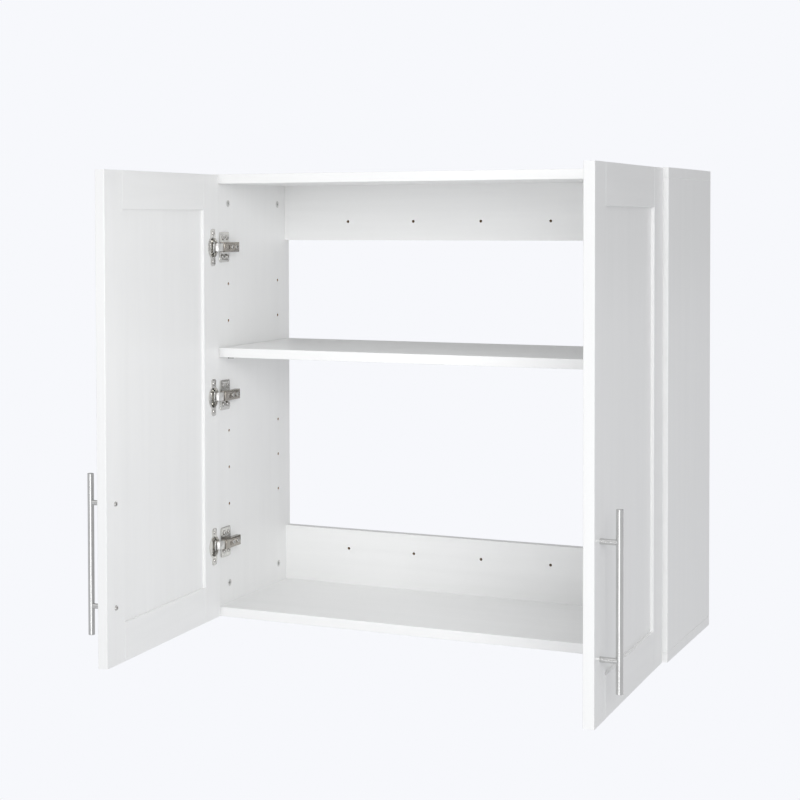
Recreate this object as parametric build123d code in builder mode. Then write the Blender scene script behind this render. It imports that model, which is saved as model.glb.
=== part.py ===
from build123d import *

import os
from math import cos, radians, sin

# Wall-hung cabinet with two framed doors, modelled with the doors standing open.
# Frame: +Z up, -Y towards the room, Y = 0 on the wall plane, X = 0 on the centre line,
# and Z = 0 on the row of fixing holes in the upper hanging rail. Millimetres and degrees.

# ---- carcass ----------------------------------------------------------------------------
WIDTH = 800
HEIGHT = 762
DEPTH = 282
BOARD = 16
EDGE_BREAK = 0.5
RAIL_HEIGHT = 100
RAIL_HOLE_INSET = 66  # from the neighbouring panel's face to the row of fixing holes
RAIL_HOLE_PITCH = 128
RAIL_HOLE_COUNT = 5
RAIL_HOLE_DIAMETER = 5

TOP = RAIL_HOLE_INSET + BOARD
BOTTOM = TOP - HEIGHT
MIDDLE = (TOP + BOTTOM) / 2
INNER = WIDTH / 2 - BOARD  # half the clear width
SIDE_HEIGHT = HEIGHT - 2 * BOARD
FRONT = -DEPTH

# ---- row-bored holes in the side panels ---------------------------------------------------
SYSTEM_PITCH = 32
FRONT_COLUMN = FRONT + 42
BACK_COLUMN = FRONT_COLUMN + 6 * SYSTEM_PITCH
PIN_HOLE_DIAMETER = 5
PIN_HOLE_DEPTH = 10
PIN_ROWS = (-3, -2, -1, 1, 2, 3)  # counted from mid height in steps of two system pitches
SHELF_ROW = 1
ROW_STEP = 2 * SYSTEM_PITCH

# ---- shelf and its pins ---------------------------------------------------------------------
SHELF_SIDE_GAP = 1
SHELF_SETBACK = 5
SHELF_BACK_GAP = 1
PIN_INSET = 8  # how deep a shelf pin sits in its hole
PIN_REACH = 9  # how far it carries the shelf
PIN_COLLAR_DIAMETER = 7
PIN_COLLAR = 1

# ---- cam fittings and dowels ----------------------------------------------------------------
CAM_DIAMETER = 12
CAM_DEPTH = 12.5
CAM_DISTANCE = 34  # from the board's end to the cam's axis
CAM_BOLT_DIAMETER = 7
CAM_BOLT_BORE = 8
CAM_BOLT_HEAD = 4.6
BOLT_THREAD_DIAMETER = 5
BOLT_THREAD = 11
DOWEL_DIAMETER = 8
DOWEL_LENGTH = 30
DOWEL_IN_FACE = 11
SIDE_DOWEL_Y = (FRONT_COLUMN + SYSTEM_PITCH, BACK_COLUMN - SYSTEM_PITCH)
RAIL_DOWEL_INSET = 20  # from the rail's long edges
RAIL_BOARD_Y = -BOARD / 2

# ---- doors ------------------------------------------------------------------------------------
DOOR_WIDTH = 397
DOOR_HEIGHT = 760
DOOR_THICKNESS = 16
DOOR_EDGE_RADIUS = 1
DOOR_JOINT_RADIUS = 0.6
DOOR_REVEAL = 1.5  # between a closed door's hinge edge and the carcass side
DOOR_GAP = 2  # between a closed door and the carcass front
STILE = 57
DOOR_RAIL = 60
PANEL_THICKNESS = 6
GROOVE = 10
PANEL_PLAY = 1
DOOR_BOTTOM = BOTTOM + 1
OPEN_ANGLE = {"right": 91.3, "left": 87.3}
SIGN = {"right": 1, "left": -1}

# ---- concealed hinges -----------------------------------------------------------------------
# Plan positions at a hinge are (u, v): u from the side panel's inner face towards the middle
# of the cabinet, v from the carcass front towards the wall.
HINGE_ROWS = (-4, 0, 4)
ARM_PIVOT = (10.7, 0.5)
CUP_PIVOT = (-5, -6)  # with the door closed
LINK_PER_DOOR = 0.438  # degrees that the link swings back for each degree of door opening
CUP_DIAMETER = 35
CUP_CLEARANCE = 0.1
CUP_BORE_DEPTH = 12.5
CUP_DEPTH = 12
CUP_WALL = 1
CUP_EDGE_DISTANCE = 22.5  # from the door's hinge edge to the cup's axis
FLANGE_LENGTH = 63
FLANGE_WIDTH = 17
FLANGE_THICKNESS = 1
CUP_COVER = (29, 1.5)  # where the cover over the cup's far side starts, and its thickness
CUP_NOTCH = (9.5, 14.4)  # depth and height of the notch that lets the link out
CUP_SCREW_SPACING = 48
CUP_SCREW_DIAMETER = 3.5
CUP_SCREW_DEPTH = 11
CUP_PIN_LENGTH = 19
PIN_DIAMETER = 3
PIN_PLAY = 0.05
LINK_HEIGHT = 13.6
LINK_STRAP = 2
ARM_HEIGHT = 17
ARM_SHEET = 1.25
ARM_LENGTH = 54
ARM_WEB_OUT = 15.5
PLATE_WIDTH = 34
PLATE_HEIGHT = 52
PLATE_SHEET = 2
PLATE_FRONT = 8
RIDGE_HEIGHT = 11
RIDGE_OUT = 9
PLATE_SCREW_V = (20, 35)
PLATE_SCREW_DIAMETER = 5
PLATE_SCREW_DEPTH = 12
PLATE_SCREW_SPACING = 32
ARM_SCREW_V = (29, 44)
ARM_SCREW_DIAMETER = 4
ARM_SCREW_GRIP = 6
ARM_SCREW_HEAD = 7.5

# ---- handles ------------------------------------------------------------------------------------
BAR_DIAMETER = 10
BAR_LENGTH = 250
BAR_STANDOFF = 27  # from the door's face to the bar's axis
POST_DIAMETER = 8
POST_SPACING = 160
HANDLE_CENTRE = 170  # above the cabinet's underside
HANDLE_SCREW_DIAMETER = 4
HANDLE_SCREW_GRIP = 12  # thread length inside the post

UP = (0, 0, 1)
SIDES = ("left", "right")
END_SIGNS = (-1, 1)


def write(shape, name):
    """Label a finished piece and write it as one STEP file."""
    shape.label = name
    export_step(shape, f"parts/{name}.step")


def swing(point, centre, degrees):
    """A plan point turned about a vertical axis through centre."""
    a = radians(degrees)
    du, dv = point[0] - centre[0], point[1] - centre[1]
    return (centre[0] + du * cos(a) - dv * sin(a), centre[1] + du * sin(a) + dv * cos(a))


def world(side, point, z=0):
    """A plan point (u, v) at a hinge, in the cabinet's frame."""
    return (SIGN[side] * (INNER - point[0]), FRONT + point[1], z)


def row_z(row):
    return MIDDLE + row * ROW_STEP


# ---- planes ---------------------------------------------------------------------------------------


def side_plan(side, z):
    """Horizontal plane at a side panel: x runs along u and y along v."""
    return Plane(world(side, (0, 0), z), x_dir=(-SIGN[side], 0, 0), z_dir=(0, 0, -SIGN[side]))


def side_face(side, z):
    """Plane on a side panel's inner face: x runs along v, the normal points inwards."""
    return Plane(world(side, (0, 0), z), x_dir=(0, 1, 0), z_dir=(-SIGN[side], 0, 0))


class Door:
    """Where one door stands, from its hinge's plan geometry and its opening angle."""

    def __init__(self, side):
        self.side = side
        self.angle = OPEN_ANGLE[side]
        self.link_turn = LINK_PER_DOOR * self.angle
        closed_corner = (DOOR_REVEAL - BOARD, -DOOR_GAP)
        self.cup_pivot = swing(CUP_PIVOT, ARM_PIVOT, self.link_turn)
        offset = (closed_corner[0] - CUP_PIVOT[0], closed_corner[1] - CUP_PIVOT[1])
        turned = swing(offset, (0, 0), -self.angle)
        self.corner = (self.cup_pivot[0] + turned[0], self.cup_pivot[1] + turned[1])
        along = swing((1, 0), (0, 0), -self.angle)
        outward = swing((0, -1), (0, 0), -self.angle)
        self.along = (-SIGN[side] * along[0], along[1], 0)
        self.outward = (-SIGN[side] * outward[0], outward[1], 0)

    def plan(self, z):
        """Horizontal plane: x from the hinge edge across the door, y from its inner face out."""
        origin = world(self.side, self.corner, z)
        return Plane(origin, x_dir=self.along, z_dir=(0, 0, SIGN[self.side]))

    def face(self, across, z, out=0):
        """Plane parallel to the door at one point of it, its normal pointing outwards."""
        start = Vector(*world(self.side, self.corner, z))
        origin = start + Vector(*self.along) * across + Vector(*self.outward) * out
        return Plane(origin, x_dir=UP, z_dir=self.outward)


# ---- carcass pieces -----------------------------------------------------------------------------


def horizontal_panel(name, z, into_sides):
    """Top or bottom panel: it covers the side panels' ends and is bored for bolts and dowels."""
    joint_face = z if into_sides < 0 else z + BOARD
    with BuildPart() as panel:
        with BuildSketch(Plane.XY.offset(z)):
            with Locations((0, -DEPTH / 2)):
                Rectangle(WIDTH, DEPTH)
        extrude(amount=BOARD)
        chamfer(panel.edges().filter_by(Axis.X).group_by(Axis.Y)[0], EDGE_BREAK)
        chamfer(panel.faces().filter_by(Axis.X).edges().filter_by(Axis.Y), EDGE_BREAK)
        for sign in END_SIGNS:
            x = sign * (WIDTH - BOARD) / 2
            with BuildSketch(Plane.XY.offset(joint_face)):
                with Locations((x, FRONT_COLUMN), (x, BACK_COLUMN)):
                    Circle(BOLT_THREAD_DIAMETER / 2)
            extrude(amount=-into_sides * BOLT_THREAD, mode=Mode.SUBTRACT)
            with BuildSketch(Plane.XY.offset(joint_face)):
                with Locations(*[(x, y) for y in SIDE_DOWEL_Y]):
                    Circle(DOWEL_DIAMETER / 2)
            extrude(amount=-into_sides * DOWEL_IN_FACE, mode=Mode.SUBTRACT)
    write(panel.part, name)


def rail_middle(upper):
    """Height of a hanging rail's middle."""
    edge = TOP - BOARD if upper else BOTTOM + BOARD
    return edge - RAIL_HEIGHT / 2 if upper else edge + RAIL_HEIGHT / 2


RAIL_DOWEL_Z = [
    rail_middle(upper) + sign * (RAIL_HEIGHT / 2 - RAIL_DOWEL_INSET)
    for upper in (True, False)
    for sign in END_SIGNS
]
RAIL_CAM_Z = [rail_middle(True), rail_middle(False)]


def side_panel(side):
    """Side panel between top and bottom, with its end bores, cam bores and pin holes."""
    low, high = BOTTOM + BOARD, TOP - BOARD
    inner = side_face(side, 0)
    with BuildPart() as panel:
        with BuildSketch(side_plan(side, low)):
            with Locations((-BOARD / 2, DEPTH / 2)):
                Rectangle(BOARD, DEPTH)
        extrude(amount=SIDE_HEIGHT, dir=UP)
        chamfer(panel.edges().filter_by(Axis.Z).group_by(Axis.Y)[0], EDGE_BREAK)
        outer = panel.faces().filter_by(Axis.X).sort_by(Axis.X)[-1 if SIGN[side] > 0 else 0]
        chamfer(outer.edges().filter_by(Axis.Y), EDGE_BREAK)
        for end, into in ((low, 1), (high, -1)):
            with BuildSketch(Plane.XY.offset(end)):
                x = SIGN[side] * (INNER + BOARD / 2)
                with Locations((x, FRONT_COLUMN), (x, BACK_COLUMN)):
                    Circle(CAM_BOLT_BORE / 2)
            extrude(amount=into * CAM_DISTANCE, mode=Mode.SUBTRACT)
            with BuildSketch(Plane.XY.offset(end)):
                with Locations(*[(x, y) for y in SIDE_DOWEL_Y]):
                    Circle(DOWEL_DIAMETER / 2)
            extrude(amount=into * (DOWEL_LENGTH - DOWEL_IN_FACE), mode=Mode.SUBTRACT)
            with BuildSketch(side_face(side, end + into * CAM_DISTANCE)):
                with Locations((FRONT_COLUMN - FRONT, 0), (BACK_COLUMN - FRONT, 0)):
                    Circle(CAM_DIAMETER / 2)
            extrude(amount=-CAM_DEPTH, mode=Mode.SUBTRACT)
        for row in PIN_ROWS:
            with BuildSketch(side_face(side, row_z(row))):
                with Locations((FRONT_COLUMN - FRONT, 0), (BACK_COLUMN - FRONT, 0)):
                    Circle(PIN_HOLE_DIAMETER / 2)
            extrude(amount=-PIN_HOLE_DEPTH, mode=Mode.SUBTRACT)
        for row in HINGE_ROWS:
            with BuildSketch(side_face(side, row_z(row))):
                for v in PLATE_SCREW_V:
                    with Locations((v, 0)):
                        with GridLocations(1, PLATE_SCREW_SPACING, 1, 2):
                            Circle(PLATE_SCREW_DIAMETER / 2)
            extrude(amount=-PLATE_SCREW_DEPTH, mode=Mode.SUBTRACT)
        with BuildSketch(Plane.YZ.offset(inner.origin.X)):
            with Locations(*[(RAIL_BOARD_Y, z) for z in RAIL_DOWEL_Z]):
                Circle(DOWEL_DIAMETER / 2)
        extrude(amount=SIGN[side] * DOWEL_IN_FACE, mode=Mode.SUBTRACT)
        with BuildSketch(Plane.YZ.offset(inner.origin.X)):
            with Locations(*[(RAIL_BOARD_Y, z) for z in RAIL_CAM_Z]):
                Circle(BOLT_THREAD_DIAMETER / 2)
        extrude(amount=SIGN[side] * BOLT_THREAD, mode=Mode.SUBTRACT)
    write(panel.part, f"{side}_side_panel")


def hanging_rail(name, upper):
    """Rail between the side panels, flush with the back, bored through for the wall screws."""
    middle = rail_middle(upper)
    hole_line = 0 if upper else BOTTOM + BOARD + RAIL_HOLE_INSET
    with BuildPart() as rail:
        with BuildSketch(Plane.XY.offset(middle - RAIL_HEIGHT / 2)):
            with Locations((0, RAIL_BOARD_Y)):
                Rectangle(2 * INNER, BOARD)
        extrude(amount=RAIL_HEIGHT)
        with BuildSketch(Plane.XZ.offset(BOARD)):
            with Locations((0, hole_line)):
                with GridLocations(RAIL_HOLE_PITCH, 1, RAIL_HOLE_COUNT, 1):
                    Circle(RAIL_HOLE_DIAMETER / 2)
        extrude(amount=-BOARD, mode=Mode.SUBTRACT)
        for sign in END_SIGNS:
            with BuildSketch(Plane.YZ.offset(sign * INNER)):
                for offset in END_SIGNS:
                    with Locations((RAIL_BOARD_Y, middle + offset * (RAIL_HEIGHT / 2 - RAIL_DOWEL_INSET))):
                        Circle(DOWEL_DIAMETER / 2)
            extrude(amount=-sign * (DOWEL_LENGTH - DOWEL_IN_FACE), mode=Mode.SUBTRACT)
            with BuildSketch(Plane.YZ.offset(sign * INNER)):
                with Locations((RAIL_BOARD_Y, middle)):
                    Circle(CAM_BOLT_BORE / 2)
            extrude(amount=-sign * CAM_DISTANCE, mode=Mode.SUBTRACT)
            with BuildSketch(Plane.XZ):
                with Locations((sign * (INNER - CAM_DISTANCE), middle)):
                    Circle(CAM_DIAMETER / 2)
            extrude(amount=CAM_DEPTH, mode=Mode.SUBTRACT)
    write(rail.part, name)


def cam_fittings():
    """Cams and their bolts: four joints in each side panel, and one at each end of each rail."""
    joints = []
    for side in SIDES:
        for end, into in ((BOTTOM + BOARD, 1), (TOP - BOARD, -1)):
            for y in (FRONT_COLUMN, BACK_COLUMN):
                x = SIGN[side] * (INNER + BOARD / 2)
                face = Plane(world(side, (0, y - FRONT), end + into * CAM_DISTANCE),
                             x_dir=UP, z_dir=(-SIGN[side], 0, 0))
                bolt = Plane((x, y, end), x_dir=(0, 1, 0), z_dir=(0, 0, into))
                joints.append((face, bolt))
        for z in RAIL_CAM_Z:
            face = Plane((SIGN[side] * (INNER - CAM_DISTANCE), 0, z),
                         x_dir=(1, 0, 0), z_dir=(0, 1, 0))
            bolt = Plane((SIGN[side] * INNER, RAIL_BOARD_Y, z),
                         x_dir=(0, 1, 0), z_dir=(-SIGN[side], 0, 0))
            joints.append((face, bolt))
    with BuildPart() as cams:
        for face, bolt in joints:
            with BuildSketch(face.offset(-CAM_DEPTH)):
                Circle(CAM_DIAMETER / 2 - 0.1)
            extrude(amount=CAM_DEPTH)
            with BuildSketch(face):
                Rectangle(6.5, 1.3)
                Rectangle(1.3, 6.5)
            extrude(amount=-2.5, mode=Mode.SUBTRACT)
        # the bolt's head slides into a pocket in the cam
        for face, bolt in joints:
            with BuildSketch(bolt.offset(CAM_DISTANCE - CAM_DIAMETER / 2 - 1)):
                Circle(CAM_BOLT_HEAD / 2 + 0.5)
            extrude(amount=CAM_DIAMETER / 2 + 1 + 2.5, mode=Mode.SUBTRACT)
    write(cams.part, "cam_locks")
    with BuildPart() as bolts:
        for face, bolt in joints:
            with BuildSketch(bolt.offset(-BOLT_THREAD)):
                Circle(BOLT_THREAD_DIAMETER / 2)
            extrude(amount=BOLT_THREAD)
            with BuildSketch(bolt):
                Circle(CAM_BOLT_DIAMETER / 2)
            extrude(amount=CAM_DISTANCE - CAM_DIAMETER / 2 - 2)
            with BuildSketch(bolt.offset(CAM_DISTANCE - CAM_DIAMETER / 2 - 2)):
                Circle(1.6)
            extrude(amount=CAM_DIAMETER / 2)
            with BuildSketch(bolt.offset(CAM_DISTANCE - 2)):
                Circle(CAM_BOLT_HEAD / 2)
            extrude(amount=3)
    write(bolts.part, "cam_bolts")


def dowels():
    """Wooden dowels at every board joint."""
    planes = []
    for sign in END_SIGNS:
        x = sign * (INNER + BOARD / 2)
        for y in SIDE_DOWEL_Y:
            planes.append(Plane((x, y, TOP - BOARD + DOWEL_IN_FACE), x_dir=(1, 0, 0), z_dir=(0, 0, -1)))
            planes.append(Plane((x, y, BOTTOM + BOARD - DOWEL_IN_FACE), x_dir=(1, 0, 0), z_dir=(0, 0, 1)))
        for z in RAIL_DOWEL_Z:
            start = (sign * (INNER + DOWEL_IN_FACE), RAIL_BOARD_Y, z)
            planes.append(Plane(start, x_dir=(0, 1, 0), z_dir=(-sign, 0, 0)))
    with BuildPart() as pegs:
        for plane in planes:
            with BuildSketch(plane):
                Circle(DOWEL_DIAMETER / 2)
            extrude(amount=DOWEL_LENGTH)
        chamfer(pegs.edges().filter_by(GeomType.CIRCLE), 0.6)
    write(pegs.part, "dowels")


def shelf():
    """Loose shelf on four pins."""
    underside = row_z(SHELF_ROW) + PIN_HOLE_DIAMETER / 2
    depth = DEPTH - SHELF_SETBACK - SHELF_BACK_GAP
    with BuildPart() as board:
        with BuildSketch(Plane.XY.offset(underside)):
            with Locations((0, FRONT + SHELF_SETBACK + depth / 2)):
                Rectangle(2 * (INNER - SHELF_SIDE_GAP), depth)
        extrude(amount=BOARD)
        chamfer(board.edges().filter_by(Axis.X).group_by(Axis.Y)[0], EDGE_BREAK)
    write(board.part, "shelf")


def shelf_pins():
    """Four pins: a shank in the side panel's hole, a collar on its face, and a nose."""
    with BuildPart() as pins:
        for side in SIDES:
            face = side_face(side, row_z(SHELF_ROW))
            for v in (FRONT_COLUMN - FRONT, BACK_COLUMN - FRONT):
                with BuildSketch(face.offset(-PIN_INSET)):
                    with Locations((v, 0)):
                        Circle(PIN_HOLE_DIAMETER / 2)
                extrude(amount=PIN_INSET + PIN_REACH)
                # the collar is cut flat on top, so that the shelf clears it
                with BuildSketch(face):
                    with Locations((v, 0)):
                        Circle(PIN_COLLAR_DIAMETER / 2)
                    with Locations((v, PIN_HOLE_DIAMETER)):
                        Rectangle(PIN_COLLAR_DIAMETER, PIN_HOLE_DIAMETER, mode=Mode.SUBTRACT)
                    with Locations((v, -PIN_HOLE_DIAMETER)):
                        Rectangle(PIN_COLLAR_DIAMETER, PIN_HOLE_DIAMETER, mode=Mode.SUBTRACT)
                extrude(amount=PIN_COLLAR)
    write(pins.part, "shelf_pins")


# ---- hinge pieces on the carcass ----------------------------------------------------------------


def hinge_plates(side):
    """Mounting plates: a winged sheet screwed to the side panel, with a ridge for the arm."""
    with BuildPart() as plates:
        for row in HINGE_ROWS:
            face = side_face(side, row_z(row))
            with BuildSketch(face):
                with Locations((PLATE_FRONT + PLATE_WIDTH / 2, 0)):
                    RectangleRounded(PLATE_WIDTH, PLATE_HEIGHT, 4)
                for v in PLATE_SCREW_V:
                    with Locations((v, 0)):
                        with GridLocations(1, PLATE_SCREW_SPACING, 1, 2):
                            Circle(PLATE_SCREW_DIAMETER / 2, mode=Mode.SUBTRACT)
            extrude(amount=PLATE_SHEET)
            ridge_length = ARM_LENGTH - PLATE_FRONT - 2
            with BuildSketch(face):
                with Locations((PLATE_FRONT + ridge_length / 2, 0)):
                    RectangleRounded(ridge_length, RIDGE_HEIGHT, 1.5)
            extrude(amount=RIDGE_OUT)
            with BuildSketch(face.offset(RIDGE_OUT)):
                with Locations(*[(v, 0) for v in ARM_SCREW_V]):
                    Circle(ARM_SCREW_DIAMETER / 2)
            extrude(amount=-ARM_SCREW_GRIP, mode=Mode.SUBTRACT)
    write(plates.part, f"{side}_hinge_plates")


def plate_screws(side):
    """Screws through the plates' wings into the side panel, with domed cross-slotted heads."""
    with BuildPart() as screws:
        for row in HINGE_ROWS:
            face = side_face(side, row_z(row))
            for v in PLATE_SCREW_V:
                for sign in END_SIGNS:
                    spot = (v, sign * PLATE_SCREW_SPACING / 2)
                    with BuildSketch(face.offset(-PLATE_SCREW_DEPTH + 0.5)):
                        with Locations(spot):
                            Circle(PLATE_SCREW_DIAMETER / 2)
                    extrude(amount=PLATE_SCREW_DEPTH - 0.5 + PLATE_SHEET)
                    with BuildSketch(face.offset(PLATE_SHEET)):
                        with Locations(spot):
                            Circle(4)
                    extrude(amount=1.8, taper=22)
                    with BuildSketch(face.offset(PLATE_SHEET + 1.8)):
                        with Locations(spot):
                            Rectangle(4.4, 1, rotation=45)
                            Rectangle(1, 4.4, rotation=45)
                    extrude(amount=-1.4, mode=Mode.SUBTRACT)
    write(screws.part, f"{side}_plate_screws")


def hinge_arms(side):
    """Channel-shaped arms: two cheeks that hold the link's pin, joined by a slotted web."""
    with BuildPart() as arms:
        for row in HINGE_ROWS:
            z = row_z(row)
            for low in (-ARM_HEIGHT / 2, ARM_HEIGHT / 2 - ARM_SHEET):
                with BuildSketch(side_plan(side, z + low)):
                    with Locations(ARM_PIVOT):
                        Circle(3.4)
                    with Locations((ARM_WEB_OUT - 4, ARM_LENGTH / 2 + 5)):
                        Rectangle(8, ARM_LENGTH - 10)
                    make_hull()
                    with Locations(ARM_PIVOT):
                        Circle(PIN_DIAMETER / 2, mode=Mode.SUBTRACT)
                extrude(amount=ARM_SHEET, dir=UP)
            web_start = ARM_PIVOT[1]
            with BuildSketch(side_plan(side, z - ARM_HEIGHT / 2)):
                with Locations((ARM_WEB_OUT - ARM_SHEET / 2, (web_start + ARM_LENGTH) / 2)):
                    Rectangle(ARM_SHEET, ARM_LENGTH - web_start)
            extrude(amount=ARM_HEIGHT, dir=UP)
            with BuildSketch(side_face(side, z).offset(ARM_WEB_OUT)):
                with Locations((ARM_SCREW_V[0], 0)):
                    SlotOverall(9, ARM_SCREW_DIAMETER + 0.6)
                with Locations((ARM_SCREW_V[1], 0)):
                    Circle(ARM_SCREW_DIAMETER / 2 + 0.3)
                with Locations((ARM_LENGTH / 3, 0)):
                    SlotOverall(7, 3, rotation=90)
            extrude(amount=-ARM_SHEET * 2, mode=Mode.SUBTRACT)
    write(arms.part, f"{side}_hinge_arms")


def arm_screws(side):
    """Adjusting and fixing screws through each arm's web into its plate."""
    with BuildPart() as screws:
        for row in HINGE_ROWS:
            face = side_face(side, row_z(row))
            for v in ARM_SCREW_V:
                with BuildSketch(face.offset(RIDGE_OUT - ARM_SCREW_GRIP + 0.5)):
                    with Locations((v, 0)):
                        Circle(ARM_SCREW_DIAMETER / 2)
                extrude(amount=ARM_WEB_OUT - RIDGE_OUT + ARM_SCREW_GRIP - 0.5)
                with BuildSketch(face.offset(ARM_WEB_OUT)):
                    with Locations((v, 0)):
                        Circle(ARM_SCREW_HEAD / 2)
                extrude(amount=1.8, taper=15)
                with BuildSketch(face.offset(ARM_WEB_OUT + 1.8)):
                    with Locations((v, 0)):
                        Rectangle(4.4, 1, rotation=45)
                        Rectangle(1, 4.4, rotation=45)
                extrude(amount=-1.4, mode=Mode.SUBTRACT)
    write(screws.part, f"{side}_arm_screws")


def arm_pins(side):
    """Pins held by the arms' cheeks, on which the links turn."""
    with BuildPart() as pins:
        for row in HINGE_ROWS:
            with BuildSketch(side_plan(side, row_z(row) - ARM_HEIGHT / 2 - 0.4)):
                with Locations(ARM_PIVOT):
                    Circle(PIN_DIAMETER / 2)
            extrude(amount=ARM_HEIGHT + 0.8, dir=UP)
    write(pins.part, f"{side}_arm_pins")


# ---- hinge links --------------------------------------------------------------------------------------


def hinge_links(door):
    """Cranked links from the arm's pin to the cup's pin, bowed to pass the door's edge."""
    length = ((ARM_PIVOT[0] - CUP_PIVOT[0]) ** 2 + (ARM_PIVOT[1] - CUP_PIVOT[1]) ** 2) ** 0.5
    axis = ((door.cup_pivot[0] - ARM_PIVOT[0]) / length, (door.cup_pivot[1] - ARM_PIVOT[1]) / length)

    def spot(along, bow):
        """A plan point, along the link from the arm's pin and bowed towards the room."""
        return (ARM_PIVOT[0] + along * axis[0] - bow * axis[1],
                ARM_PIVOT[1] + along * axis[1] + bow * axis[0])

    outline = [spot(0, 2), spot(2.5, 4.6), spot(6, 6.4), spot(13, 7.2), spot(16, 4.8), spot(length, 1.2)]
    with BuildPart() as links:
        for row in HINGE_ROWS:
            with BuildSketch(side_plan(door.side, row_z(row) - LINK_HEIGHT / 2)):
                with BuildLine():
                    Polyline(*outline)
                trace(line_width=LINK_STRAP)
                for pivot, knuckle in ((ARM_PIVOT, 2.9), (door.cup_pivot, 2.4)):
                    with Locations(pivot):
                        Circle(knuckle)
                        Circle(PIN_DIAMETER / 2 + PIN_PLAY, mode=Mode.SUBTRACT)
            extrude(amount=LINK_HEIGHT, dir=UP)
    write(links.part, f"{door.side}_hinge_links")


# ---- hinge pieces on the doors ------------------------------------------------------------------


def hinge_cups(door):
    """Cups pressed into the door: a thin round pot with a flange and a bore for its pin."""
    pin_across = CUP_PIVOT[0] + BOARD - DOOR_REVEAL
    pin_out = -DOOR_GAP - CUP_PIVOT[1]
    with BuildPart() as cups:
        for row in HINGE_ROWS:
            face = door.face(CUP_EDGE_DISTANCE, row_z(row))
            with BuildSketch(face):
                Circle(CUP_DIAMETER / 2 - CUP_CLEARANCE)
            extrude(amount=CUP_DEPTH)
            with BuildSketch(face.offset(-FLANGE_THICKNESS)):
                RectangleRounded(FLANGE_LENGTH, FLANGE_WIDTH, 5)
                Circle(CUP_DIAMETER / 2 + 1.5)
                with GridLocations(CUP_SCREW_SPACING, 1, 2, 1):
                    Circle(CUP_SCREW_DIAMETER / 2, mode=Mode.SUBTRACT)
            extrude(amount=FLANGE_THICKNESS)
            with BuildSketch(face.offset(-FLANGE_THICKNESS)):
                Circle(CUP_DIAMETER / 2 - CUP_WALL)
            extrude(amount=FLANGE_THICKNESS + CUP_DEPTH - CUP_WALL, mode=Mode.SUBTRACT)
            cover_start = CUP_COVER[0] - CUP_EDGE_DISTANCE
            with BuildSketch(face):
                Circle(CUP_DIAMETER / 2 - CUP_WALL / 2)
                with Locations((0, SIGN[door.side] * (cover_start - CUP_DIAMETER) / 2)):
                    Rectangle(2 * CUP_DIAMETER, cover_start + CUP_DIAMETER, mode=Mode.SUBTRACT)
            extrude(amount=CUP_COVER[1])
            with BuildSketch(door.plan(row_z(row) - CUP_NOTCH[1] / 2)):
                with Locations((CUP_EDGE_DISTANCE - CUP_DIAMETER / 2, CUP_NOTCH[0] / 2 - FLANGE_THICKNESS)):
                    Rectangle(10, CUP_NOTCH[0])
            extrude(amount=CUP_NOTCH[1], dir=UP, mode=Mode.SUBTRACT)
            with BuildSketch(door.plan(row_z(row) - CUP_PIN_LENGTH / 2)):
                with Locations((pin_across, pin_out)):
                    Circle(PIN_DIAMETER / 2)
            extrude(amount=CUP_PIN_LENGTH, dir=UP, mode=Mode.SUBTRACT)
    write(cups.part, f"{door.side}_hinge_cups")
    with BuildPart() as pins:
        for row in HINGE_ROWS:
            with BuildSketch(door.plan(row_z(row) - CUP_PIN_LENGTH / 2)):
                with Locations((pin_across, pin_out)):
                    Circle(PIN_DIAMETER / 2)
            extrude(amount=CUP_PIN_LENGTH, dir=UP)
    write(pins.part, f"{door.side}_cup_pins")


def cup_screws(door):
    """Two screws through each cup's flange into the door."""
    with BuildPart() as screws:
        for row in HINGE_ROWS:
            for sign in END_SIGNS:
                z = row_z(row) + sign * CUP_SCREW_SPACING / 2
                with BuildSketch(door.face(CUP_EDGE_DISTANCE, z, -FLANGE_THICKNESS)):
                    Circle(CUP_SCREW_DIAMETER / 2)
                extrude(amount=CUP_SCREW_DEPTH - 0.5)
                with BuildSketch(door.face(CUP_EDGE_DISTANCE, z, -FLANGE_THICKNESS)):
                    Circle(3.4)
                extrude(amount=-1.4, taper=25)
                with BuildSketch(door.face(CUP_EDGE_DISTANCE, z, -FLANGE_THICKNESS - 1.4)):
                    Rectangle(3.8, 0.9, rotation=45)
                    Rectangle(0.9, 3.8, rotation=45)
                extrude(amount=1.1, mode=Mode.SUBTRACT)
    write(screws.part, f"{door.side}_cup_screws")


# ---- door boards --------------------------------------------------------------------------------


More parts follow.
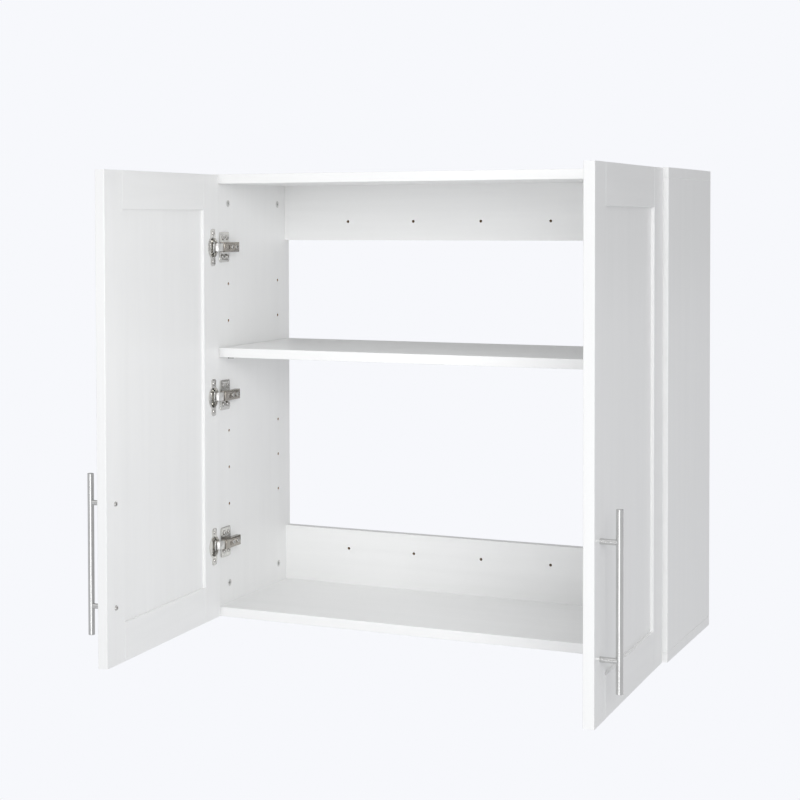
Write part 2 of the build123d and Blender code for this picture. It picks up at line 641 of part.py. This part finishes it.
def door_stile(door, name, start, groove_at, hinge_side):
    """Upright frame member, grooved along its inner edge."""
    with BuildPart() as stile:
        with BuildSketch(door.plan(DOOR_BOTTOM)):
            with Locations((start + STILE / 2, DOOR_THICKNESS / 2)):
                Rectangle(STILE, DOOR_THICKNESS)
        extrude(amount=DOOR_HEIGHT, dir=UP)
        fillet(stile.edges().filter_by(Axis.Z), DOOR_EDGE_RADIUS)
        with BuildSketch(door.plan(DOOR_BOTTOM)):
            with Locations((groove_at, DOOR_THICKNESS / 2)):
                Rectangle(2 * GROOVE, PANEL_THICKNESS)
        extrude(amount=DOOR_HEIGHT, dir=UP, mode=Mode.SUBTRACT)
        if hinge_side:
            for row in HINGE_ROWS:
                with BuildSketch(door.face(CUP_EDGE_DISTANCE, row_z(row))):
                    Circle(CUP_DIAMETER / 2)
                extrude(amount=CUP_BORE_DEPTH, mode=Mode.SUBTRACT)
                with BuildSketch(door.face(CUP_EDGE_DISTANCE, row_z(row))):
                    with GridLocations(CUP_SCREW_SPACING, 1, 2, 1):
                        Circle(CUP_SCREW_DIAMETER / 2)
                extrude(amount=CUP_SCREW_DEPTH - FLANGE_THICKNESS, mode=Mode.SUBTRACT)
        else:
            for sign in END_SIGNS:
                z = BOTTOM + HANDLE_CENTRE + sign * POST_SPACING / 2
                with BuildSketch(door.face(DOOR_WIDTH - STILE / 2, z)):
                    Circle(HANDLE_SCREW_DIAMETER / 2 + 0.25)
                extrude(amount=DOOR_THICKNESS, mode=Mode.SUBTRACT)
    write(stile.part, f"{door.side}_door_{name}")


def door_rails(door):
    """Cross members between the stiles, with stub tenons in the stiles' grooves."""
    opening = DOOR_WIDTH - 2 * STILE
    middle = DOOR_WIDTH / 2
    for name, low, groove_low in (
        ("bottom_rail", DOOR_BOTTOM, DOOR_BOTTOM + DOOR_RAIL - GROOVE),
        ("top_rail", DOOR_BOTTOM + DOOR_HEIGHT - DOOR_RAIL, DOOR_BOTTOM + DOOR_HEIGHT - DOOR_RAIL),
    ):
        with BuildPart() as rail:
            with BuildSketch(door.plan(low)):
                with Locations((middle, DOOR_THICKNESS / 2)):
                    Rectangle(opening, DOOR_THICKNESS)
            extrude(amount=DOOR_RAIL, dir=UP)
            fillet(rail.edges(), DOOR_JOINT_RADIUS)
            with BuildSketch(door.plan(low)):
                with Locations((middle, DOOR_THICKNESS / 2)):
                    Rectangle(opening + 2 * GROOVE, PANEL_THICKNESS)
            extrude(amount=DOOR_RAIL, dir=UP)
            with BuildSketch(door.plan(groove_low)):
                with Locations((middle, DOOR_THICKNESS / 2)):
                    Rectangle(opening + 2 * GROOVE, PANEL_THICKNESS)
            extrude(amount=GROOVE, dir=UP, mode=Mode.SUBTRACT)
        write(rail.part, f"{door.side}_door_{name}")


def door_panel(door):
    """Thin panel held in the frame's grooves, recessed on both faces."""
    width = DOOR_WIDTH - 2 * STILE + 2 * (GROOVE - PANEL_PLAY)
    low = DOOR_BOTTOM + DOOR_RAIL - GROOVE + PANEL_PLAY
    height = DOOR_HEIGHT - 2 * DOOR_RAIL + 2 * (GROOVE - PANEL_PLAY)
    with BuildPart() as panel:
        with BuildSketch(door.plan(low)):
            with Locations((DOOR_WIDTH / 2, DOOR_THICKNESS / 2)):
                Rectangle(width, PANEL_THICKNESS)
        extrude(amount=height, dir=UP)
    write(panel.part, f"{door.side}_door_panel")


# ---- handles -----------------------------------------------------------------------


def handle(door):
    """Round bar on two posts, held by screws from inside the door."""
    across = DOOR_WIDTH - STILE / 2
    centre = BOTTOM + HANDLE_CENTRE
    posts_z = [centre + sign * POST_SPACING / 2 for sign in END_SIGNS]
    seat = DOOR_THICKNESS + BAR_STANDOFF
    with BuildPart() as bar:
        with BuildSketch(door.plan(centre - BAR_LENGTH / 2)):
            with Locations((across, seat)):
                Circle(BAR_DIAMETER / 2)
        extrude(amount=BAR_LENGTH, dir=UP)
        chamfer(bar.edges().filter_by(GeomType.CIRCLE), 0.6)
        for z in posts_z:
            with BuildSketch(door.face(across, z, DOOR_THICKNESS)):
                Circle(POST_DIAMETER / 2)
            extrude(amount=BAR_STANDOFF, mode=Mode.SUBTRACT)
    write(bar.part, f"{door.side}_handle_bar")
    with BuildPart() as posts:
        for z in posts_z:
            with BuildSketch(door.face(across, z, DOOR_THICKNESS)):
                Circle(POST_DIAMETER / 2)
            extrude(amount=BAR_STANDOFF)
            with BuildSketch(door.face(across, z, DOOR_THICKNESS)):
                Circle(HANDLE_SCREW_DIAMETER / 2)
            extrude(amount=HANDLE_SCREW_GRIP, mode=Mode.SUBTRACT)
    write(posts.part, f"{door.side}_handle_posts")
    with BuildPart() as screws:
        for z in posts_z:
            with BuildSketch(door.face(across, z)):
                Circle(HANDLE_SCREW_DIAMETER / 2)
            extrude(amount=DOOR_THICKNESS + HANDLE_SCREW_GRIP - 1)
            with BuildSketch(door.face(across, z)):
                Circle(4)
            extrude(amount=-2, taper=20)
            with BuildSketch(door.face(across, z, -2)):
                Rectangle(4.6, 1, rotation=45)
                Rectangle(1, 4.6, rotation=45)
            extrude(amount=1.5, mode=Mode.SUBTRACT)
    write(screws.part, f"{door.side}_handle_screws")


os.makedirs("parts", exist_ok=True)

horizontal_panel("top_panel", TOP - BOARD, -1)
horizontal_panel("bottom_panel", BOTTOM, 1)
hanging_rail("upper_hanging_rail", True)
hanging_rail("lower_hanging_rail", False)
cam_fittings()
dowels()
shelf()
shelf_pins()

for side_name in SIDES:
    side_panel(side_name)
    hinge_plates(side_name)
    plate_screws(side_name)
    hinge_arms(side_name)
    arm_screws(side_name)
    arm_pins(side_name)
    hung = Door(side_name)
    hinge_links(hung)
    hinge_cups(hung)
    cup_screws(hung)
    door_stile(hung, "hinge_stile", 0, STILE, True)
    door_stile(hung, "handle_stile", DOOR_WIDTH - STILE, DOOR_WIDTH - STILE, False)
    door_rails(hung)
    door_panel(hung)
    handle(hung)
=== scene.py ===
import math

import bmesh
import bpy
from mathutils import Matrix, Vector


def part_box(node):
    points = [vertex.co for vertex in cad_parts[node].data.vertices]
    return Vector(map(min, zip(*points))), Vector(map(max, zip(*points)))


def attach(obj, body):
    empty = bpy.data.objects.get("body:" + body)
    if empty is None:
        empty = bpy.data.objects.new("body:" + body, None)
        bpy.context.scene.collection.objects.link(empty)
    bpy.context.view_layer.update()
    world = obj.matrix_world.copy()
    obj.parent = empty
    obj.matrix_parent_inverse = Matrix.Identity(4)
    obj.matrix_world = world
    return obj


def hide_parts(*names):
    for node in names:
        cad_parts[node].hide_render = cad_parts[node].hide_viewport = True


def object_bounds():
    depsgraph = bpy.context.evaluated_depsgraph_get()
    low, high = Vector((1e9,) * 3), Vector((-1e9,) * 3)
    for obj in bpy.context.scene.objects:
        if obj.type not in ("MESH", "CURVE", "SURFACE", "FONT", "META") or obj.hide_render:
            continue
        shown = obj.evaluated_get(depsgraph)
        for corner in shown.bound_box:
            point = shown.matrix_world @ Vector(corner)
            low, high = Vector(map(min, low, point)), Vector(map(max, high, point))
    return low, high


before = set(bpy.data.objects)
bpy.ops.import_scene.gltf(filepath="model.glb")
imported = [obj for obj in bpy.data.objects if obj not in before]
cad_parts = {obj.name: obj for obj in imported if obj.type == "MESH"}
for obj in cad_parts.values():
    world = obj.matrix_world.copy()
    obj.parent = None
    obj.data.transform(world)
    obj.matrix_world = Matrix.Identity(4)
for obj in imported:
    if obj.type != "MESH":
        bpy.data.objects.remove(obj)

CAD_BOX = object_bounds()
SIDES = ("right", "left")


# ---- node helpers ------------------------------------------------------------------------------


class Tree:
    """A material's node tree, with short calls for what the materials here need."""

    def __init__(self, name):
        self.material = bpy.data.materials.new(name)
        self.material.use_nodes = True
        self.nodes = self.material.node_tree.nodes
        self.links = self.material.node_tree.links
        self.shader = self.nodes["Principled BSDF"]
        self.coord = self.nodes.new("ShaderNodeTexCoord").outputs["Object"]

    def set(self, **values):
        for key, value in values.items():
            self.shader.inputs[key.replace("_", " ")].default_value = value

    def link(self, output, target):
        self.links.new(output, target)

    def noise(self, scale, detail=3, rough=0.55, stretch=(1, 1, 1), distortion=0.0):
        mapping = self.nodes.new("ShaderNodeMapping")
        mapping.inputs["Scale"].default_value = stretch
        self.link(self.coord, mapping.inputs["Vector"])
        noise = self.nodes.new("ShaderNodeTexNoise")
        noise.inputs["Scale"].default_value = scale
        noise.inputs["Detail"].default_value = detail
        noise.inputs["Roughness"].default_value = rough
        noise.inputs["Distortion"].default_value = distortion
        self.link(mapping.outputs["Vector"], noise.inputs["Vector"])
        return noise.outputs["Fac"]

    def cells(self, scale, output="Color", stretch=(1, 1, 1)):
        mapping = self.nodes.new("ShaderNodeMapping")
        mapping.inputs["Scale"].default_value = stretch
        self.link(self.coord, mapping.inputs["Vector"])
        cells = self.nodes.new("ShaderNodeTexVoronoi")
        cells.inputs["Scale"].default_value = scale
        self.link(mapping.outputs["Vector"], cells.inputs["Vector"])
        return cells.outputs[output]

    def ramp(self, fac, stops):
        ramp = self.nodes.new("ShaderNodeValToRGB")
        elements = ramp.color_ramp.elements
        while len(elements) < len(stops):
            elements.new(0.5)
        for element, (place, colour) in zip(elements, stops):
            element.position = place
            element.color = (*colour, 1)
        self.link(fac, ramp.inputs["Fac"])
        return ramp.outputs["Color"]

    def range(self, fac, low, high):
        node = self.nodes.new("ShaderNodeMapRange")
        node.inputs["From Min"].default_value = 0.3
        node.inputs["From Max"].default_value = 0.7
        node.inputs["To Min"].default_value = low
        node.inputs["To Max"].default_value = high
        self.link(fac, node.inputs["Value"])
        return node.outputs["Result"]

    def mix(self, a, b, fac, blend="MIX"):
        node = self.nodes.new("ShaderNodeMix")
        node.data_type = "RGBA"
        node.blend_type = blend
        node.inputs["Factor"].default_value = fac
        self.link(a, node.inputs[6])
        self.link(b, node.inputs[7])
        return node.outputs[2]

    def bump(self, layers):
        """Stacks (height output, strength, distance in metres) layers into the shader's normal."""
        normal = None
        for height, strength, distance in layers:
            node = self.nodes.new("ShaderNodeBump")
            node.inputs["Strength"].default_value = strength
            node.inputs["Distance"].default_value = distance
            self.link(height, node.inputs["Height"])
            if normal is not None:
                self.link(normal, node.inputs["Normal"])
            normal = node.outputs["Normal"]
        self.link(normal, self.shader.inputs["Normal"])


def shade(value, tint=(1, 1, 1)):
    return tuple(value * t for t in tint)


WHITE_TINT = (1.0, 1.003, 0.998)


LAMINATE_WHITE = 0.91


def laminate(name, grain, white=LAMINATE_WHITE, roughness=0.34, relief=0.06):
    """White satin laminate with a very faint pressed grain along one direction."""
    tree = Tree(name)
    streaks = tree.noise(55, 5, 0.62, tuple(0.05 if g else 1 for g in grain))
    pores = tree.noise(420, 2, 0.5, tuple(0.045 if g else 1 for g in grain))
    clouds = tree.noise(3.2, 2, 0.5)
    stops = [(0.28, shade(white * 0.975, WHITE_TINT)), (0.62, shade(white, WHITE_TINT))]
    base = tree.ramp(streaks, stops)
    tone = tree.ramp(clouds, [(0.3, (0.985, 0.985, 0.985)), (0.7, (1, 1, 1))])
    tree.link(tree.mix(base, tone, 1.0, "MULTIPLY"), tree.shader.inputs["Base Color"])
    tree.link(tree.range(pores, roughness - 0.04, roughness + 0.06), tree.shader.inputs["Roughness"])
    tree.set(IOR=1.5, Coat_Weight=0.08, Coat_Roughness=0.2)
    tree.bump([(streaks, relief, 0.0004), (pores, relief * 0.8, 0.0001)])
    return tree.material


def raw_core(name):
    """Bare chipboard, as it shows inside a drilled hole."""
    tree = Tree(name)
    chips = tree.cells(900, stretch=(1, 1, 1.6))
    fine = tree.noise(1400, 3)
    a = tree.ramp(chips, [(0.2, (0.23, 0.13, 0.065)), (0.8, (0.46, 0.31, 0.18))])
    b = tree.ramp(fine, [(0.3, (0.24, 0.14, 0.07)), (0.7, (0.50, 0.35, 0.21))])
    tree.link(tree.mix(a, b, 0.5), tree.shader.inputs["Base Color"])
    tree.set(Roughness=0.9)
    tree.bump([(fine, 0.6, 0.0003)])
    return tree.material


def metal(name, colour, roughness, spread=0.06, brush=None, relief=0.04, scale=260):
    """Plated or brushed metal: brush stretches its fine lines along one axis."""
    tree = Tree(name)
    lines = tree.noise(scale, 4, 0.6, brush or (1, 1, 1))
    smudge = tree.noise(38, 3)
    light = tuple(min(1, c * 1.06) for c in colour)
    dark = tuple(c * 0.90 for c in colour)
    base = tree.ramp(lines, [(0.3, dark), (0.7, light)])
    tone = tree.ramp(smudge, [(0.3, (0.94, 0.94, 0.94)), (0.7, (1, 1, 1))])
    tree.link(tree.mix(base, tone, 1.0, "MULTIPLY"), tree.shader.inputs["Base Color"])
    tree.link(tree.range(lines, roughness - spread, roughness + spread), tree.shader.inputs["Roughness"])
    tree.set(Metallic=1.0)
    tree.bump([(lines, relief, 0.0002), (smudge, relief, 0.0004)])
    return tree.material


def timber(name):
    """Bare beech with its short flecks."""
    tree = Tree(name)
    grain = tree.noise(90, 4, 0.6, (1, 1, 0.08))
    tree.link(tree.ramp(grain, [(0.3, (0.42, 0.26, 0.13)), (0.7, (0.62, 0.43, 0.25))]),
              tree.shader.inputs["Base Color"])
    tree.set(Roughness=0.7)
    tree.bump([(grain, 0.3, 0.0003)])
    return tree.material


ALONG_X, ALONG_Y, ALONG_Z = (1, 0, 0), (0, 1, 0), (0, 0, 1)
MAT = {
    "board_x": laminate("board_grain_across", ALONG_X),
    "board_z": laminate("board_grain_upright", ALONG_Z),
    "door_y": laminate("door_rail_foil", ALONG_Y, LAMINATE_WHITE, 0.32, 0.08),
    "door_z": laminate("door_upright_foil", ALONG_Z, LAMINATE_WHITE, 0.32, 0.08),
    "core": raw_core("chipboard_core"),
    "nickel": metal("hinge_nickel", (0.74, 0.73, 0.70), 0.19, 0.04),
    # painted highlight: the hinge link gets a much lighter copy of the nickel than the other parts,
    # standing in for the bright glint on it
    "link": metal("hinge_link_nickel_painted_highlight", (0.90, 0.89, 0.87), 0.34, 0.05),
    # painted shade: the hinge arm gets a dark brownish copy of the nickel, standing in for the shade the
    # arm sits in
    "arm": metal("hinge_arm_nickel_painted_shade", (0.42, 0.39, 0.35), 0.24, 0.05),
    "pin": metal("hinge_pin_steel", (0.58, 0.58, 0.57), 0.20),
    "screw": metal("screw_nickel", (0.62, 0.61, 0.59), 0.24),
    "zinc": metal("cam_zinc", (0.74, 0.74, 0.73), 0.42, 0.08, None, 0.10),
    "steel": metal("brushed_stainless", (0.70, 0.70, 0.69), 0.22, 0.03, (1, 1, 0.03), 0.025, 700),
    "beech": timber("beech"),
}


EDGE_ZONE = 0.0025  # a face whose middle is nearer than this to a board's edge isn't in a hole


def dress(node, name, drilled=None):
    """Gives a CAD node its material, and bare core in the holes drilled along an axis."""
    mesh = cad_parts[node].data
    mesh.materials.clear()
    mesh.materials.append(MAT[name])
    if drilled is not None:
        mesh.materials.append(MAT["core"])
    low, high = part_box(node)
    for polygon in mesh.polygons:
        others = [axis for axis in range(3) if axis != drilled]
        inside = all(low[a] + EDGE_ZONE < polygon.center[a] < high[a] - EDGE_ZONE for a in others)
        in_hole = drilled is not None and abs(polygon.normal[drilled]) < 0.3 and inside
        polygon.material_index = 1 if in_hole else 0


def softened(node, body, name, width):
    """Stands for a pressed or turned metal node: the same form with its edges rounded over."""
    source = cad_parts[node].data
    work = bmesh.new()
    work.from_mesh(source)
    bmesh.ops.remove_doubles(work, verts=work.verts, dist=1e-6)
    bmesh.ops.dissolve_limit(work, angle_limit=math.radians(1), verts=work.verts, edges=work.edges)
    for face in work.faces:
        face.smooth = True
        face.material_index = 0
    mesh = bpy.data.meshes.new(node + "_rounded")
    work.to_mesh(mesh)
    work.free()
    mesh.materials.append(MAT[name])
    piece = bpy.data.objects.new(node + "_rounded", mesh)
    bpy.context.scene.collection.objects.link(piece)
    bevel = piece.modifiers.new("rounding", "BEVEL")
    bevel.width = width
    bevel.segments = 2
    bevel.limit_method = "ANGLE"
    bevel.angle_limit = math.radians(35)
    bevel.harden_normals = True
    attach(piece, body)
    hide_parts(node)
    return piece


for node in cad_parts:
    if node.endswith(("_door_top_rail", "_door_bottom_rail")):
        dress(node, "door_y")
    elif "_door_" in node:
        dress(node, "door_z", 0)
    elif node.endswith("_side_panel"):
        dress(node, "board_z", 0)
    elif node.endswith("_hanging_rail"):
        dress(node, "board_x", 1)
    elif node.endswith("_panel") or node == "shelf":
        dress(node, "board_x", 2)
    elif node == "dowels":
        dress(node, "beech")
    elif node == "cam_locks":
        dress(node, "zinc")
    elif node.endswith(("_handle_bar", "_handle_posts")):
        dress(node, "steel")
    elif node.endswith(("screws", "cam_bolts")):
        dress(node, "screw")
    elif node.endswith("pins"):
        dress(node, "pin")
    else:
        dress(node, "nickel")


METALWORK = (
    ("hinge_plates", "carcass", "hinge_nickel", "nickel", 0.0004),
    ("hinge_arms", "carcass", "hinge_nickel", "arm", 0.0004),
    ("hinge_links", "links", "hinge_nickel", "link", 0.0003),
    ("hinge_cups", "door", "hinge_nickel", "nickel", 0.0002),
)
for side in SIDES:
    for part, body, slot, finish, width in METALWORK:
        owner = body if body == "carcass" else f"{side}_{body}"
        softened(f"{side}_{part}", owner, finish, width)

# ---- stage: floor, lights and camera -------------------------------------------------------------

BACKDROP = (0.930, 0.939, 0.973)




def seen_by_camera(tree, lit, seen, output):
    """The camera sees one shader and every other ray another."""
    path = tree.nodes.new("ShaderNodeLightPath")
    blend = tree.nodes.new("ShaderNodeMixShader")
    tree.links.new(path.outputs["Is Camera Ray"], blend.inputs["Fac"])
    tree.links.new(lit, blend.inputs[1])
    tree.links.new(seen, blend.inputs[2])
    tree.links.new(blend.outputs["Shader"], tree.nodes[output].inputs["Surface"])


world = bpy.data.worlds.new("studio")
world.use_nodes = True
bpy.context.scene.world = world
w_nodes, w_links = world.node_tree.nodes, world.node_tree.links
seen = w_nodes["Background"]
seen.inputs["Color"].default_value = (*BACKDROP, 1)
fill = w_nodes.new("ShaderNodeBackground")
fill.inputs["Color"].default_value = (0.985, 0.99, 1.0, 1)
seen_by_camera(world.node_tree, fill.outputs["Background"], seen.outputs["Background"], "World Output")

# the room is brighter in front and overhead, with one narrow dark side for the metal to show
direction = w_nodes.new("ShaderNodeTexCoord").outputs["Generated"]


def wall_part(towards, start, end, low, high):
    """A strength that goes from low to high as a ray turns towards a direction."""
    dot = w_nodes.new("ShaderNodeVectorMath")
    dot.operation = "DOT_PRODUCT"
    dot.inputs[1].default_value = towards
    w_links.new(direction, dot.inputs[0])
    spread = w_nodes.new("ShaderNodeMapRange")
    spread.interpolation_type = "SMOOTHSTEP"
    for socket, value in zip(("From Min", "From Max", "To Min", "To Max"), (start, end, low, high)):
        spread.inputs[socket].default_value = value
    w_links.new(dot.outputs["Value"], spread.inputs["Value"])
    return spread.outputs["Result"]


front = wall_part((0, -1, 0), -0.3, 0.8, 0.31, 0.62)
dark_side = wall_part((0.97, -0.25, 0), 0.86, 0.97, 1.0, 0.25)
overhead = wall_part((0, 0, 1), 0.25, 0.9, 1.0, 1.9)


def product(a, b):
    node = w_nodes.new("ShaderNodeMath")
    node.operation = "MULTIPLY"
    w_links.new(a, node.inputs[0])
    w_links.new(b, node.inputs[1])
    return node.outputs["Value"]


w_links.new(product(product(front, dark_side), overhead), fill.inputs["Strength"])

FLOOR_DROP = 1.40  # the cabinet hangs this far above the floor
mesh = bpy.data.meshes.new("floor")
floor_bm = bmesh.new()
bmesh.ops.create_circle(floor_bm, cap_ends=True, radius=60, segments=96)
floor_bm.to_mesh(mesh)
floor_bm.free()
floor = bpy.data.objects.new("floor", mesh)
floor.location.z = CAD_BOX[0][2] - FLOOR_DROP
bpy.context.scene.collection.objects.link(floor)
floor_material = bpy.data.materials.new("pale_floor")
floor_material.use_nodes = True
f_nodes = floor_material.node_tree.nodes
f_shader = f_nodes["Principled BSDF"]
f_shader.inputs["Base Color"].default_value = (0.3, 0.3, 0.3, 1)
f_shader.inputs["Roughness"].default_value = 1.0
f_shader.inputs["Specular IOR Level"].default_value = 0.0
f_shader.inputs["Emission Color"].default_value = (*BACKDROP, 1)
f_shader.inputs["Emission Strength"].default_value = 0.50
f_seen = f_nodes.new("ShaderNodeEmission")
f_seen.inputs["Color"].default_value = (*BACKDROP, 1)
seen_by_camera(floor_material.node_tree, f_shader.outputs["BSDF"], f_seen.outputs["Emission"],
               "Material Output")
mesh.materials.append(floor_material)


def softbox(name, place, aim, size, power, colour=(1, 1, 1)):
    light = bpy.data.lights.new(name, "AREA")
    light.shape = "RECTANGLE"
    light.size, light.size_y = size
    light.energy = power
    light.color = colour
    lamp = bpy.data.objects.new(name, light)
    lamp.location = place
    lamp.rotation_euler = (Vector(aim) - Vector(place)).to_track_quat("-Z", "Y").to_euler()
    bpy.context.scene.collection.objects.link(lamp)
    return lamp


CENTRE = (0, -0.2, -0.3)
softbox("key", (2.0, -3.6, 0.75), CENTRE, (1.3, 1.3), 44)
# between the open doors, to lift the cabinet's inside
inner_fill = softbox("inner_fill", (0.20, -0.80, -0.15), (-0.50, -0.42, -0.10), (0.36, 0.6), 0.85)
inner_fill.visible_camera = False
inner_fill.visible_glossy = False
softbox("front_fill", (0.5, -4.2, -1.1), (0, 0, 0), (1.6, 1.2), 11.5)

# focal length, principal point and place that match the photograph's framing of 800 x 800
FOCAL, CENTRE_X, CENTRE_Y = 1781.81, 305.05, 273.35
IMAGE = 800
CAMERA_AT = (1.0739, -2.9781, 0.0048)
YAW, PITCH, ROLL = 0.44620, -0.03045, -0.00359
camera_data = bpy.data.cameras.new("camera")
camera_data.sensor_width = 36
camera_data.lens = FOCAL / IMAGE * 36
camera_data.shift_x = (IMAGE / 2 - CENTRE_X) / IMAGE
camera_data.shift_y = (CENTRE_Y - IMAGE / 2) / IMAGE
camera_data.clip_end = 200
camera = bpy.data.objects.new("camera", camera_data)
forward = Vector((-math.sin(YAW) * math.cos(PITCH), math.cos(YAW) * math.cos(PITCH), math.sin(PITCH)))
level_right = Vector((math.cos(YAW), math.sin(YAW), 0))
level_up = level_right.cross(forward)
right = level_right * math.cos(ROLL) + level_up * math.sin(ROLL)
up = level_up * math.cos(ROLL) - level_right * math.sin(ROLL)
camera.matrix_world = Matrix.Translation(CAMERA_AT) @ Matrix((right, up, -forward)).transposed().to_4x4()
bpy.context.scene.collection.objects.link(camera)
bpy.context.scene.camera = camera
bpy.context.scene.view_settings.view_transform = "Standard"
